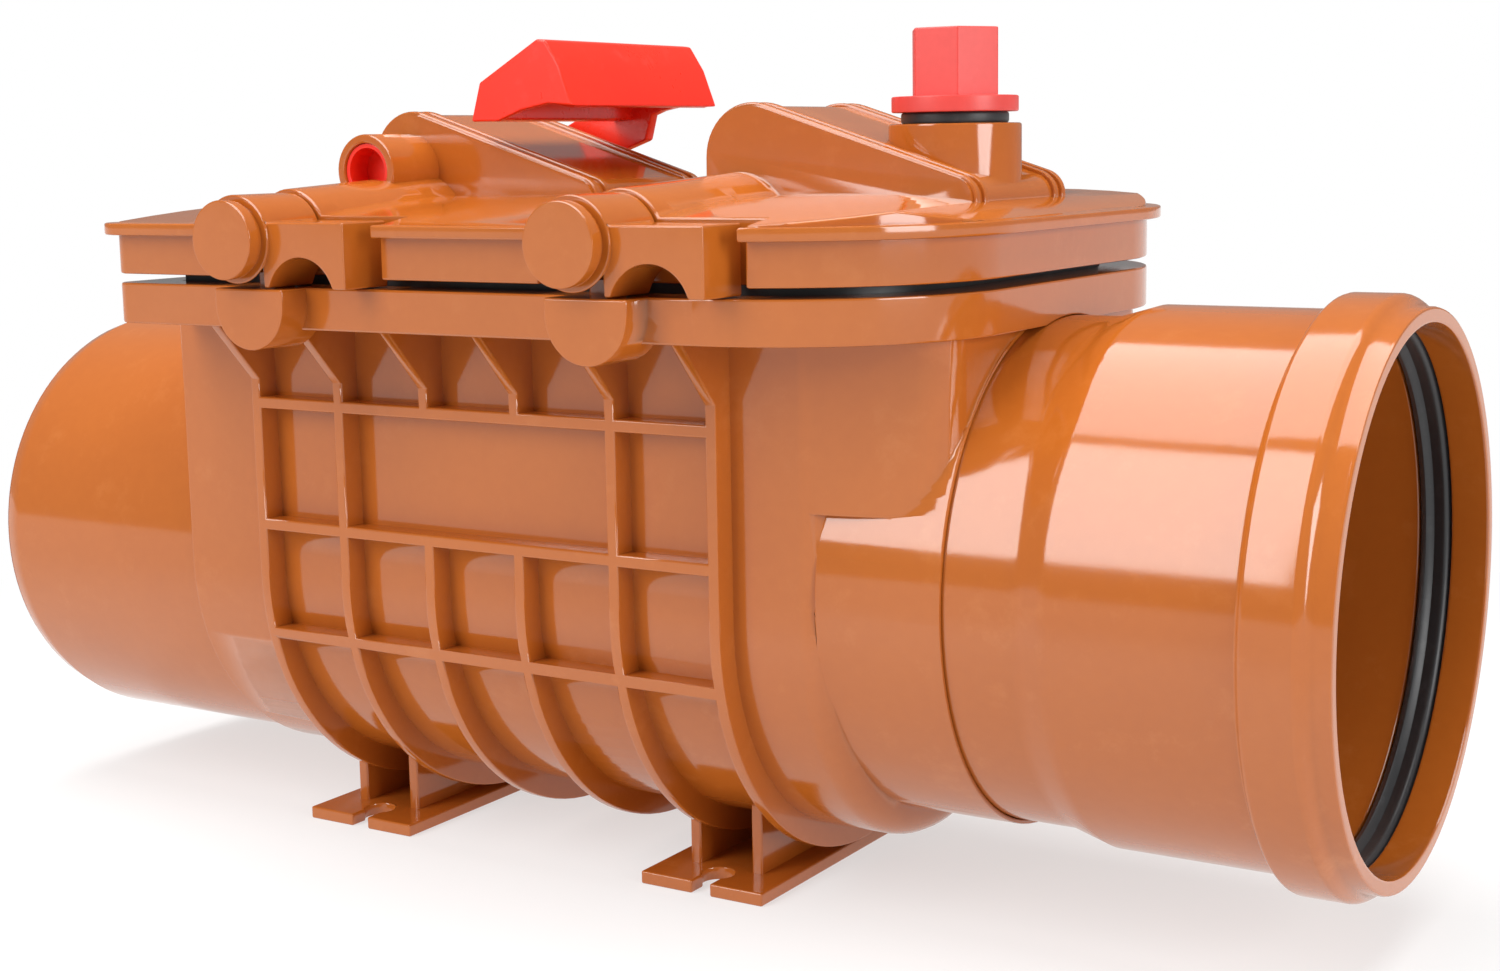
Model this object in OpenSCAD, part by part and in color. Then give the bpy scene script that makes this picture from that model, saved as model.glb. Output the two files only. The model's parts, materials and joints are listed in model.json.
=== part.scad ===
// Backwater valve for DN160 drain pipe, two flaps, hand lock and test plug.
// Millimetres. X runs along the pipe from the outlet spigot (-X) to the inlet
// socket (+X), Z is up, and Z = 0 is the underside of the feet.

/* [Pipe] */
// Outside diameter of the drain pipe that the valve joins
pipe_od = 160; // [150:1:170]
// Wall of the spigot and the stub
pipe_wall = 4; // [3:0.5:6]
// Overall length from the spigot end to the socket mouth
total_len = 517; // [505:1:540]
// Height of the inlet pipe axis over the feet
inlet_z = 108; // [106:1:112]
// Drop of the outlet axis below the inlet axis
invert_drop = 10; // [6:1:12]
// Length of the lead-in chamfer on the spigot
lead_len = 9; // [5:1:15]
// Radial depth of the lead-in chamfer
lead_depth = 2.5; // [1:0.5:3]

/* [Socket] */
// Radial clearance of the socket bore round the pipe
socket_clear = 0.6; // [0.3:0.1:0.8]
// Wall of the socket
socket_wall = 3.4; // [3:0.1:5]
// Outside radius of the seal bead
bead_r = 89; // [88.5:0.1:92]
// Length of the seal bead
bead_len = 20; // [18:1:24]
// Length of the lip in front of the bead
lip_len = 7; // [4:1:10]
// Outside radius of the lip at the mouth
lip_r = 85.4; // [85:0.1:87]
// Depth of the socket bore
socket_depth = 82; // [76:1:88]
// Length of the cone behind the socket
cone_len = 14; // [10:1:18]
// Bead seal ring section width
seal_w = 10; // [8:1:12]
// How far the inlet pipe reaches into the stub sleeve
sleeve_len = 37.5; // [34:0.5:40]
// Wall of the stub sleeve
sleeve_wall = 1.6; // [1.4:0.1:2]
// Radial clearance of the inlet pipe in its sleeve
sleeve_clear = 0.1; // [0.05:0.05:0.2]

/* [Chamber] */
// Outside radius of the chamber bottom, also half its width
chamber_r = 82; // [81.5:0.1:83]
// Chamber wall
chamber_wall = 4; // [3:0.5:5]
// Plane of the chamber end wall on the spigot side
chamber_x0 = -154.5; // [-158:0.5:-152]
// Plane of the chamber end wall on the socket side
chamber_x1 = 106.5; // [105:0.5:109]
// Rounding of the chamber's rim on the socket side
end_r = 9; // [7:0.5:10]
// Plane that the shoulder over the stub reaches
shoulder_x = 143; // [140:0.5:144]
// Corner radius of the shoulder in plan
shoulder_corner_r = 14; // [12:0.5:16]
// Radius of the shoulder's flanks in plan
flank_r = 142; // [132:1:150]
// Plane where the shoulder's flanks start
flank_x = 90; // [86:1:94]
// Height of the shoulder's underside over the inlet axis
shoulder_up = 26; // [22:1:30]

/* [Flange and lid] */
// Left end of the flange
flange_x0 = -149.5; // [-152:0.5:-146]
// Right end of the flange
flange_x1 = 148.5; // [146:0.5:152]
// Half width of the flange
flange_hw = 115; // [113:0.5:117]
// Corner radius at the socket end of the flange
corner_r1 = 65; // [55:1:75]
// Corner radius at the spigot end of the flange
corner_r0 = 6; // [4:1:10]
// Underside of the flange
flange_z = 186; // [185:0.5:188]
// Thickness of the flange
flange_t = 13.5; // [12:0.5:15]
// Gap between lid skirt and flange
lid_gap = 3; // [2:0.5:4]
// Height of the lid skirt
skirt_h = 13; // [11:0.5:15]
// Thickness of the lid plate
plate_t = 4; // [3:0.5:5]
// Rise of the lid's crown over the plate
crown_h = 6.5; // [5:0.5:8]
// Width of the flat rim round the crown
rim_w = 5; // [4:0.5:6]
// Radius of the crown's long sides
crown_ry = 450; // [400:10:500]
// Radius of the crown's ends
crown_rx = 125; // [110:5:140]
// Overhang of the lid plate past the skirt
overhang = 4.5; // [3:0.5:6]
// Wall of the lid skirt
skirt_t = 4; // [3:0.5:5]
// Inset of the gasket from the flange edge
gasket_inset = 16; // [16:0.5:18]
// Width of the gasket
gasket_w = 6; // [5:0.5:7]
// Depth of the gasket groove in the flange
groove_d = 2; // [1.5:0.5:3]
// Radial play of the gasket in its groove
gasket_play = 0.3; // [0.2:0.05:0.5]
// Width of the flange land inside the gasket
land_w = 4; // [3:0.5:6]

/* [Ribs] */
// Radial height of the ribs on the chamber
rib_h = 8; // [6:0.5:9]
// Rib thickness
rib_t = 4; // [3:0.5:5]
// Plane of the first ring rib
rib_x0 = -111.5; // [-115:0.5:-108]
// Pitch of the ring ribs
rib_pitch = 36.8; // [35:0.2:38]
// Number of ring ribs
rib_n = 6; // [5:1:6]
// Height of the upper long rib over the outlet axis
rib_zA = 60; // [56:0.5:64]
// Height of the middle long rib over the outlet axis
rib_zB = 18; // [14:0.5:22]
// Depth of the lower long rib below the outlet axis
rib_zC = 20.5; // [16:0.5:24]
// Height of the gussets under the flange
gusset_h = 20; // [16:1:24]
// Reach of the gussets past the ribs
gusset_reach = 18; // [12:1:20]

/* [Feet] */
// Centre plane of the foot on the spigot side
foot_xa = -102.5; // [-106:0.5:-98]
// Centre plane of the foot on the socket side
foot_xb = 44.5; // [40:0.5:48]
// Width of a foot along the pipe
foot_w = 47; // [42:1:52]
// Half length of a foot across the pipe
foot_hl = 58; // [54:1:64]
// Thickness of a foot plate
foot_t = 4.5; // [4:0.5:6]
// Diameter of the bolt hole in a foot
foot_hole_d = 11; // [9:0.5:13]
// Width of the slot mouth at the foot end
foot_mouth = 7; // [5:0.5:7.5]
// Distance of the bolt hole from the foot end
foot_hole_in = 11; // [9:0.5:14]
// Distance between the two webs of a foot
web_gap = 24; // [18:1:30]
// Half length of a web
web_hl = 42; // [36:1:48]

/* [Clamps] */
// Plane of the clamp axes on the spigot side
clamp_xa = -81.5; // [-84:0.5:-79]
// Plane of the clamp axes on the socket side
clamp_xb = 49.5; // [47:0.5:52]
// Height of the clamp axis over the flange top
clamp_up = 15.5; // [15.5:0.1:16.5]
// Radius of the clamp disc
disc_r = 12.5; // [12.3:0.1:13]
// Thickness of the clamp disc
disc_t = 7; // [5:0.5:8]
// Width of the groove behind the clamp disc
disc_groove_w = 1.5; // [1:0.25:2]
// Depth of the groove behind the clamp disc
disc_groove_d = 1; // [0.5:0.25:1.5]
// Radius of the clamp's claw cup
claw_r = 14; // [13.6:0.1:14.6]
// Wall of the claw cup behind the disc
claw_wall = 2.2; // [1.8:0.1:2.4]
// Depth of the claw cup
claw_depth = 12; // [10:0.5:13]
// Radius of the clamp shaft
clamp_shaft_r = 5; // [4.5:0.1:5.2]
// Length of the clamp shaft inside the lid barrel
clamp_shaft_len = 44; // [36:1:50]
// Reach of the clamp arm from its axis
arm_reach = 44.5; // [42:0.5:46]
// Depth of the clamp arm across the pipe
arm_depth = 20; // [18:0.5:21]
// Height of the clamp arm
arm_h = 20.5; // [18:0.5:21]
// Radius of the arch in the arm
arch_r = 13.8; // [12:0.2:15]
// Rise of the arch over the arm underside
arch_rise = 9.6; // [8:0.2:10]
// Distance of the arch from the clamp axis
arch_x = 26; // [25:0.5:28]
// Reach of the arm front face past the flange
arm_out = 10; // [9:0.5:12]
// Room behind the clamp arm
arm_room = 4; // [3:0.5:5]
// Room in the lid beside a clamp
pocket_side = 6; // [5:0.5:8]
// Wall behind a clamp
pocket_wall = 3; // [2.5:0.5:4]
// Radius of the lid's clamp barrel at the clamp
clamp_barrel_r = 15.2; // [15:0.1:16]
// Radius of the lid's clamp barrel at the hump
clamp_barrel_r1 = 18.5; // [17:0.5:19]
// Radius of the tube round the clamp shaft, under the lid
clamp_tube_r = 9; // [8:0.5:10]
// Room for the lever between the rear barrels and the hump
rear_room = 18; // [17:0.5:22]
// Offset of a lug from its clamp towards the socket
lug_dx = 4.5; // [3:0.5:6]
// Half width of a lug under the flange edge
lug_r = 14.5; // [12:0.5:16]
// Depth of the lug's round below the flange top
lug_c = 5; // [4:0.5:8]
// Reach of the lugs past the flange
lug_reach = 11; // [8:0.5:12]
// Half width of the hook bar that a clamp catches
hook_hw = 3.5; // [3:0.25:4]
// Depth of the hook bar
hook_t = 2.7; // [2:0.1:3]
// Running clearance of turning pieces
run_clear = 0.06; // [0.03:0.01:0.09]
// Gap between turning pieces and their neighbours
side_gap = 0.4; // [0.3:0.05:0.6]

/* [Humps] */
// Plane of the hump nose over the outlet flap
hump_xa = -86.5; // [-88:0.5:-84]
// Plane of the hump nose over the inlet flap
hump_xb = 53; // [51:0.5:55]
// Radius of the hump nose
nose_r = 16; // [15.5:0.25:17]
// Height of the nose axis over the lid plate
nose_up = 18.5; // [17.5:0.5:20]
// Length of the hump from nose axis to its low end
hump_len = 78; // [74:1:82]
// Height of the low end
hump_end_h = 12; // [11:0.5:13]
// Rounding of the low end
hump_end_r = 7; // [5:0.5:8]
// Half width of a hump
hump_hw = 34; // [32:0.5:36]
// Wall of the humps
hump_wall = 3; // [2.5:0.25:4]
// Height of the ridges on the humps
ridge_h = 1.2; // [0.8:0.1:1.8]
// Width of a ridge
ridge_w = 3; // [2:0.5:4]

/* [Hand lock] */
// Outside radius of the shaft barrel
barrel_r = 12.5; // [12:0.1:13]
// Reach of the barrel past the hump on the front
barrel_reach = 24; // [20:1:28]
// Reach of the barrel past the hump on the rear
barrel_rear = 7; // [6:0.5:8]
// Drop of the shaft axis below the nose axis
shaft_drop = 3; // [2:0.25:3]
// Radius of the lock shaft
lock_shaft_r = 9.4; // [9:0.1:9.8]
// Bore radius of the hollow shaft end
lock_shaft_bore = 7.8; // [7.4:0.1:7.9]
// Depth of the hollow shaft end
lock_bore_d = 9; // [7:0.5:9]
// Wall of the lock arm's hub
lock_hub_wall = 2.5; // [2:0.25:2.75]
// Radius of the pad at the end of the lock arm
lock_pad_r = 4.25; // [4:0.05:6]
// Gap between the pad and the flap when locked
lock_gap = 0.4; // [0.3:0.05:1]
// Half thickness of the lock arm
lock_arm_ht = 3.5; // [3:0.25:4]
// Width of the lock arm
lock_arm_w = 20; // [14:1:26]
// Rest angle of the lock arm from +X
lock_arm_a = 255; // [253:0.5:257]
// Turn of the lever from open to locked
lock_turn = 38.5; // [35:0.5:42]
// Half width of the lever grip across the pipe
grip_hw = 41.5; // [40:0.5:43]
// Plate thickness of the grip
grip_t = 3; // [2.5:0.25:4]
// Distance of the grip's near edge from the shaft axis
grip_near = 33.5; // [32:0.5:35]
// Height of the grip's near edge over the shaft axis
grip_low = 16; // [15:0.5:17]
// Height of the grip's near face
grip_face = 13; // [12:0.5:14]
// Lean of the grip's near face
grip_lean = 4; // [3:0.5:5]
// Distance of the grip's ridge from the shaft axis
grip_ridge = 62; // [60:0.5:64]
// Height of the grip's ridge over the shaft axis
grip_high = 42.5; // [41:0.5:44]
// Width of the flat on the ridge
grip_flat = 3.5; // [3:0.5:4]
// Distance of the grip's far edge from the shaft axis
grip_far = 76; // [74:0.5:78]
// Height of the grip's far edge over the shaft axis
grip_tip = 20.5; // [19:0.5:22]
// Gap between the lever hub and the lid's crown
hub_gap = 0.5; // [0.4:0.1:1]
// Wall of the lever hub
hub_wall = 2.5; // [2:0.25:3]
// Thickness of the lever hub and arm
hub_t = 5; // [4:0.5:6]
// Height of the lever arm's underside at the grip
lever_low = 9; // [8:0.5:10]

/* [Test plug] */
// Centre plane of the test port
port_x = 108.5; // [106:0.5:111]
// Radius of the test port
port_r = 21; // [20.5:0.5:22]
// Height of the test port over the lid plate
port_h = 28; // [26:0.5:31]
// Bore radius of the test port
port_bore = 15; // [14:0.25:16]
// Width of the plug hexagon across flats
plug_af = 26; // [24:0.5:30]
// Height of the plug hexagon
plug_hex_h = 21; // [18:0.5:23]
// Radius of the plug flange
plug_flange_r = 20; // [19.5:0.25:22]
// Thickness of the plug flange
plug_flange_t = 5; // [4:0.5:6]
// Height of the O-ring under the plug flange
oring_h = 3.5; // [3:0.25:4]
// Length of the plug stem in the bore
stem_len = 22; // [18:0.5:24]
// Thread pitch
thread_pitch = 4; // [3:0.5:5]
// Depth of the thread grooves
thread_d = 1; // [0.6:0.1:1.2]

/* [Flaps] */
// Plane of the seat in front of the outlet flap
seat_xa = -28; // [-30:0.5:-26]
// Plane of the seat in front of the inlet flap
seat_xb = 102.4; // [100:0.1:102.4]
// Thickness of a seat frame
frame_t = 6; // [5:0.5:7]
// Play of a seat frame in the chamber
frame_play = 0.1; // [0.05:0.01:0.2]
// Height of a seat frame top over the outlet axis
frame_top = 93; // [90:0.5:95]
// Radius of the seat opening
seat_r = 64; // [62:0.5:65]
// Height of the seat lip
seat_lip = 2; // [1.5:0.25:3]
// Radius of a flap disc
flap_r = 70; // [69:0.5:71]
// Thickness of a flap disc
flap_t = 5; // [4:0.5:6]
// Thickness of a flap seal
flap_seal_t = 3; // [2.5:0.25:4]
// Height of the hinge axis over the flap rim
hinge_up = 11; // [10:0.5:12]
// Radius of a hinge pin
pin_r = 2.5; // [2:0.1:3]
// Radius of a hinge knuckle
knuckle_r = 5; // [4.5:0.1:5.5]
// Gap between a knuckle and the seat frame
knuckle_gap = 0.5; // [0.3:0.1:1]
// Half distance between the hinge ears
ear_y = 30; // [26:0.5:34]
// Width of a hinge ear
ear_w = 6; // [5:0.5:8]
// Radius of the plate that holds a flap seal
keeper_r = 58; // [54:0.5:60]
// Thickness of the plate that holds a flap seal
keeper_t = 2.5; // [2:0.25:3]
// Radius of the circle of keeper screws
screw_pcr = 46; // [40:0.5:50]
// Number of keeper screws on a flap
screw_n = 6; // [4:1:8]
// Radius of a keeper screw head
screw_head_r = 4; // [3.5:0.25:4.5]
// Radius of a keeper screw shank
screw_shank_r = 2; // [1.5:0.1:2.5]

/* [Hidden] */
$fn = 96;
eps = 0.01;
pipe_r = pipe_od / 2;
bore_r = pipe_r - pipe_wall;
x_out = -total_len / 2;
x_in = total_len / 2;
outlet_z = inlet_z - invert_drop;
socket_bore = pipe_r + socket_clear;
socket_r = socket_bore + socket_wall;
seal_x = x_in - lip_len - bead_len / 2;
seal_out = bead_r - socket_wall;
inner_r = chamber_r - chamber_wall;
cav_x0 = chamber_x0 + chamber_wall;
cav_x1 = chamber_x1 - chamber_wall;
flange_top = flange_z + flange_t;
skirt_z = flange_top + lid_gap;
plate_z = skirt_z + skirt_h;
deck_z = plate_z + plate_t;
clamp_z = flange_top + clamp_up;
nose_z = deck_z + nose_up;
shaft_z = nose_z - shaft_drop;
crown_z = deck_z + crown_h;
hub_r = shaft_z - crown_z - hub_gap;
lock_end_r = hub_r - hub_wall;
arm_y = flange_hw + arm_out;
rib_r = chamber_r + rib_h;
rib_x = [for (i = [0:rib_n - 1]) rib_x0 + i * rib_pitch];
feet_x = [foot_xa, foot_xb];
clamp_x = [clamp_xa, clamp_xb];
hump_x = [hump_xa, hump_xb];
pocket_y = arm_y - arm_depth - arm_room;
claw_in = claw_r - claw_wall;
hook_low = clamp_z - sqrt(pow(claw_in - side_gap, 2) - pow(hook_hw, 2));
cup_back = pocket_y + side_gap;
port_top = deck_z + port_h;
hinge_z = outlet_z + flap_r + hinge_up;
flap_gap = seat_lip + flap_seal_t;
hinge_off = frame_t + knuckle_r + knuckle_gap;
flap_back = frame_t + flap_gap + flap_t;
lock_reach = seat_xa - flap_back - lock_gap - lock_pad_r - hump_xa;
lock_arm_len = lock_reach / cos(lock_arm_a + lock_turn);
pin_len = 2 * (ear_y + ear_w);
sleeve_x = chamber_x1 + sleeve_len;
C_BODY = [0.80, 0.44, 0.20];
C_RED = [0.90, 0.22, 0.13];
C_PLUG = [0.90, 0.32, 0.30];
C_RUBBER = [0.08, 0.08, 0.08];
C_METAL = [0.72, 0.73, 0.75];
C_PLATE = [0.55, 0.57, 0.60];

// A ring or tube along X from x0 to x1 on the axis at height z
module tube_x(x0, x1, ro, ri, z) {
    translate([x0, 0, z]) rotate([0, 90, 0]) difference() {
        cylinder(r = ro, h = x1 - x0);
        if (ri > 0) translate([0, 0, -1]) cylinder(r = ri, h = x1 - x0 + 2);
    }
}

// A rod along Y from y0 to y1
module rod_y(x, z, y0, y1, r) {
    translate([x, y1, z]) rotate([90, 0, 0]) cylinder(r = r, h = y1 - y0);
}

// A flat outline drawn in X and Z, extruded from y0 to y1
module slab_y(y0, y1) {
    translate([0, y1, 0]) rotate([90, 0, 0]) linear_extrude(height = y1 - y0) children();
}

// A flat outline drawn in Y and Z, extruded from x0 to x1
module slab_x(x0, x1) {
    translate([x0, 0, 0]) rotate([90, 0, 90]) linear_extrude(height = x1 - x0) children();
}

// Round bottomed cross section of the chamber
module u_outline(r, top) {
    translate([0, outlet_z]) circle(r = r);
    translate([-r, outlet_z]) square([2 * r, top - outlet_z]);
}

// Plan of the flange, grown by d
module plan(d) {
    x0 = flange_x0 - d;
    x1 = flange_x1 + d;
    w = flange_hw + d;
    ra = max(corner_r0 + d, 1);
    rb = corner_r1 + d;
    translate([x0 + ra, -w]) square([x1 - x0 - ra - rb, 2 * w]);
    translate([x0, -w + ra]) square([2 * ra, 2 * (w - ra)]);
    translate([x1 - 2 * rb, -w + rb]) square([2 * rb, 2 * (w - rb)]);
    for (s = [-1, 1]) {
        translate([x0 + ra, s * (w - ra)]) circle(r = ra);
        translate([x1 - rb, s * (w - rb)]) circle(r = rb);
    }
}

module plan_ring(d0, d1, z0, z1) {
    translate([0, 0, z0]) linear_extrude(height = z1 - z0) difference() {
        plan(d0);
        plan(d1);
    }
}

// Side view of a hump with its nose axis at the origin, grown by d
module hump_outline(d) {
    r = nose_r + d;
    e = hump_end_r + d;
    ex = hump_len - hump_end_r;
    ez = hump_end_h - hump_end_r - nose_up;
    a = atan2(ez, ex) + acos((r - e) / sqrt(ex * ex + ez * ez));
    circle(r = r);
    translate([ex, ez]) intersection() {
        circle(r = e);
        square(e);
    }
    polygon([[r * cos(a), r * sin(a)], [ex + e * cos(a), ez + e * sin(a)], [ex, ez], [ex + e, ez],
        [ex + e, -nose_up], [-r, -nose_up], [-r, 0], [0, 0]]);
}

// Section of the lid's crown between a and b, its edges rounded to radius r, grown by d
module crown_section(a, b, r, d) {
    run = sqrt(r * r - pow(r - crown_h, 2));
    for (x = [a + run, b - run]) translate([x, crown_z - r]) circle(r = r + d);
    translate([a + run, crown_z - r]) square([b - a - 2 * run, r + d]);
}

// The lid's crown, grown by d, inside the flange plan grown by g
module crown(d, g) {
    e = overhang - rim_w;
    intersection() {
        translate([0, 0, plate_z - 1]) linear_extrude(height = crown_h + plate_t + 2) plan(g);
        slab_x(flange_x0 - overhang, flange_x1 + overhang) crown_section(-flange_hw - e, flange_hw + e, crown_ry, d);
        slab_y(-flange_hw - overhang, flange_hw + overhang) crown_section(flange_x0 - e, flange_x1 + e, crown_rx, d);
    }
}

module at_front_and_rear() {
    children();
    mirror([0, 1, 0]) children();
}

// The lug below a clamp and the hook bar that the claw catches
module lug_and_hook(x) {
    slab_y(-flange_hw - lug_reach, -flange_hw + 8) {
        translate([x + lug_dx, flange_top - lug_c]) intersection() {
            circle(r = lug_r);
            translate([-lug_r, -lug_r]) square([2 * lug_r, lug_r + lug_c]);
        }
        translate([x + lug_dx - lug_r, flange_top - lug_c]) square([2 * lug_r, lug_c]);
    }
    translate([x - hook_hw, -arm_y + side_gap, hook_low])
        cube([2 * hook_hw, arm_y - side_gap - pocket_y - 2, hook_t]);
    translate([x - hook_hw, -arm_y + claw_depth + side_gap, flange_top - 1])
        cube([2 * hook_hw, arm_y - claw_depth - side_gap - pocket_y - 2, hook_low + hook_t - flange_top + 1]);
}

// Ring ribs, long ribs and gussets outside the chamber
module ribs() {
    z_a = outlet_z + rib_zA;
    z_b = outlet_z + rib_zB;
    z_c = outlet_z - rib_zC;
    x_last = rib_x[rib_n - 1];
    for (i = [0:rib_n - 1]) difference() {
        union() {
            slab_x(rib_x[i] - rib_t / 2, rib_x[i] + rib_t / 2) u_outline(rib_r, flange_z + 1);
            slab_x(rib_x[i] - rib_t / 2, rib_x[i] + rib_t / 2) for (s = [-1, 1])
                polygon([[s * (rib_r - 1), flange_z - gusset_h], [s * rib_r, flange_z - gusset_h],
                    [s * (rib_r + gusset_reach), flange_z], [s * (rib_r + gusset_reach), flange_z + 1],
                    [s * (rib_r - 1), flange_z + 1]]);
        }
        if (i == 2 || i == 3) for (s = [-1, 1])
            translate([rib_x[i] - rib_t, s * rib_r - 2 * rib_h, z_b]) cube([2 * rib_t, 4 * rib_h, z_a - z_b]);
    }
    intersection() {
        slab_x(rib_x[0], x_last) u_outline(rib_r, flange_z);
        union() for (z = [z_a, z_b, z_c])
            translate([rib_x[0], -2 * rib_r, z - rib_t / 2]) cube([x_last - rib_x[0], 4 * rib_r, rib_t]);
    }
}

// One side of the shoulder's plan: a round corner and a bowed flank
function shoulder_side() = let(
    cx = shoulder_x - shoulder_corner_r,
    d = flank_r - shoulder_corner_r,
    cy = sqrt(d * d - pow(cx - flank_x, 2)) - flank_r + chamber_r,
    a = acos((cx - flank_x) / d),
    b = acos(4 / flank_r))
    concat([for (i = [0:5]) [cx + shoulder_corner_r * cos(i * a / 5), cy + shoulder_corner_r * sin(i * a / 5)]],
        [for (i = [1:4]) let(t = a + i * (b - a) / 4) [flank_x + flank_r * cos(t), chamber_r - flank_r + flank_r * sin(t)]]);

// The same points in reverse order on the other side
function other_side(line) = [for (i = [len(line) - 1:-1:0]) [line[i][0], -line[i][1]]];

// Shoulder of the chamber over the inlet stub
module shoulder() {
    z0 = inlet_z + shoulder_up;
    translate([0, 0, z0]) linear_extrude(height = flange_z + 1 - z0)
        polygon(concat(shoulder_side(), other_side(shoulder_side())));
}

// Quarter round of the chamber's rim, as distance from the rim's start and from the middle plane
function rim_line() = [for (i = [0:5]) [end_r * sin(18 * i), chamber_r - end_r + end_r * cos(18 * i)]];

// The chamber's block, its rim on the socket side rounded
module chamber_block() {
    xe = chamber_x1 - end_r;
    slab_x(chamber_x0, xe) u_outline(chamber_r, flange_z + 1);
    intersection() {
        translate([xe, 0, outlet_z]) rotate([0, 90, 0]) rotate_extrude()
            polygon(concat([[0, 0]], [for (p = rim_line()) [p[1], p[0]]], [[0, end_r]]));
        translate([xe - 1, -2 * chamber_r, outlet_z - 2 * chamber_r]) cube([2 * end_r, 4 * chamber_r, 2 * chamber_r]);
    }
    translate([xe, 0, outlet_z]) linear_extrude(height = flange_z + 1 - outlet_z)
        polygon(concat(rim_line(), other_side(rim_line())));
}

module foot(x) {
    translate([x, 0, 0]) difference() {
        union() {
            translate([-foot_w / 2, -foot_hl, 0]) cube([foot_w, 2 * foot_hl, foot_t]);
            for (s = [-1, 1]) translate([s * web_gap / 2 - rib_t / 2, -web_hl, foot_t - 1])
                cube([rib_t, 2 * web_hl, outlet_z - inner_r + 14 - foot_t]);
        }
        for (s = [-1, 1]) translate([0, s * (foot_hl - foot_hole_in), -1]) {
            cylinder(d = foot_hole_d, h = foot_t + 2);
            translate([-foot_mouth / 2, s > 0 ? 0 : -foot_hl, 0]) cube([foot_mouth, foot_hl, foot_t + 2]);
        }
    }
}

module housing() {
    color(C_BODY) difference() {
        union() {
            chamber_block();
            shoulder();
            translate([0, 0, flange_z]) linear_extrude(height = flange_t) plan(0);
            ribs();
            tube_x(cav_x1, sleeve_x, pipe_r + sleeve_wall, 0, inlet_z);
            for (x = feet_x) foot(x);
            at_front_and_rear() for (x = clamp_x) lug_and_hook(x);
        }
        slab_x(cav_x0, cav_x1) u_outline(inner_r, flange_z);
        translate([flange_x0 + gasket_inset + gasket_w + land_w, -inner_r, flange_z - 1])
            cube([cav_x1 - flange_x0 - gasket_inset - gasket_w - land_w, 2 * inner_r, flange_t + 2]);
        tube_x(chamber_x0 - 1, cav_x0 + 1, bore_r, 0, outlet_z);
        tube_x(cav_x1 - 1, chamber_x1 + eps, bore_r, 0, inlet_z);
        tube_x(chamber_x1, max(sleeve_x, flange_x1) + 1, pipe_r + sleeve_clear, 0, inlet_z);
        plan_groove();
    }
}

module plan_groove() {
    plan_ring(-gasket_inset, -gasket_inset - gasket_w, flange_top - groove_d, flange_top + 1);
}

module outlet_spigot() {
    color(C_BODY) translate([x_out, 0, outlet_z]) rotate([0, 90, 0]) rotate_extrude()
        polygon([[bore_r, 0], [pipe_r - lead_depth, 0], [pipe_r, lead_len],
            [pipe_r, chamber_x0 - x_out], [bore_r, chamber_x0 - x_out]]);
}

module inlet_socket() {
    lip0 = lip_len + bead_len;
    color(C_BODY) translate([x_in, 0, inlet_z]) rotate([0, -90, 0]) rotate_extrude()
        polygon([[socket_bore, 0], [lip_r, 0], [lip_r, lip_len - 2], [bead_r - 1.5, lip_len],
            [bead_r, lip_len + 2], [bead_r, lip0 - 3], [socket_r, lip0],
            [socket_r, socket_depth - 2], [pipe_r, socket_depth - 2 + cone_len],
            [pipe_r, x_in - chamber_x1], [bore_r, x_in - chamber_x1],
            [bore_r, socket_depth + cone_len - 4], [bore_r, socket_depth], [socket_bore, socket_depth],
            [socket_bore, lip_len + bead_len / 2 + seal_w / 2],
            [seal_out, lip_len + bead_len / 2 + seal_w / 2],
            [seal_out, lip_len + bead_len / 2 - seal_w / 2],
            [socket_bore, lip_len + bead_len / 2 - seal_w / 2]]);
}

// Rubber ring in the bead, drawn pressed back to the pipe's own size
module socket_seal() {
    color(C_RUBBER) translate([seal_x - seal_w / 2 + 0.1, 0, inlet_z]) rotate([0, 90, 0]) rotate_extrude()
        polygon([[socket_bore - 0.2, 1], [seal_out - 0.1, 0], [seal_out - 0.1, seal_w - 0.2], [socket_bore - 0.2, seal_w - 1.2]]);
}

module seat(x) {
    color(C_PLATE) difference() {
        union() {
            slab_x(x - frame_t, x) u_outline(inner_r - frame_play, outlet_z + frame_top - 12);
            slab_x(x - frame_t, x) translate([-ear_y - ear_w, outlet_z]) square([2 * (ear_y + ear_w), frame_top]);
            tube_x(x - frame_t - seat_lip, x - frame_t + 1, seat_r + 4, seat_r, outlet_z);
            for (s = [-1, 1]) {
                translate([x - hinge_off, s * (ear_y + ear_w / 2) - ear_w / 2, hinge_z - knuckle_r])
                    cube([hinge_off - frame_t + 1, ear_w, 2 * knuckle_r]);
                rod_y(x - hinge_off, hinge_z, s * (ear_y + ear_w / 2) - ear_w / 2, s * (ear_y + ear_w / 2) + ear_w / 2, knuckle_r);
            }
        }
        tube_x(x - frame_t - seat_lip - 1, x + 1, seat_r, 0, outlet_z);
        rod_y(x - hinge_off, hinge_z, -ear_y - 2 * ear_w, ear_y + 2 * ear_w, pin_r);
    }
}

module hinge_pin(x) {
    color(C_METAL) rod_y(x - hinge_off, hinge_z, -pin_len / 2, pin_len / 2, pin_r);
}

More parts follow.
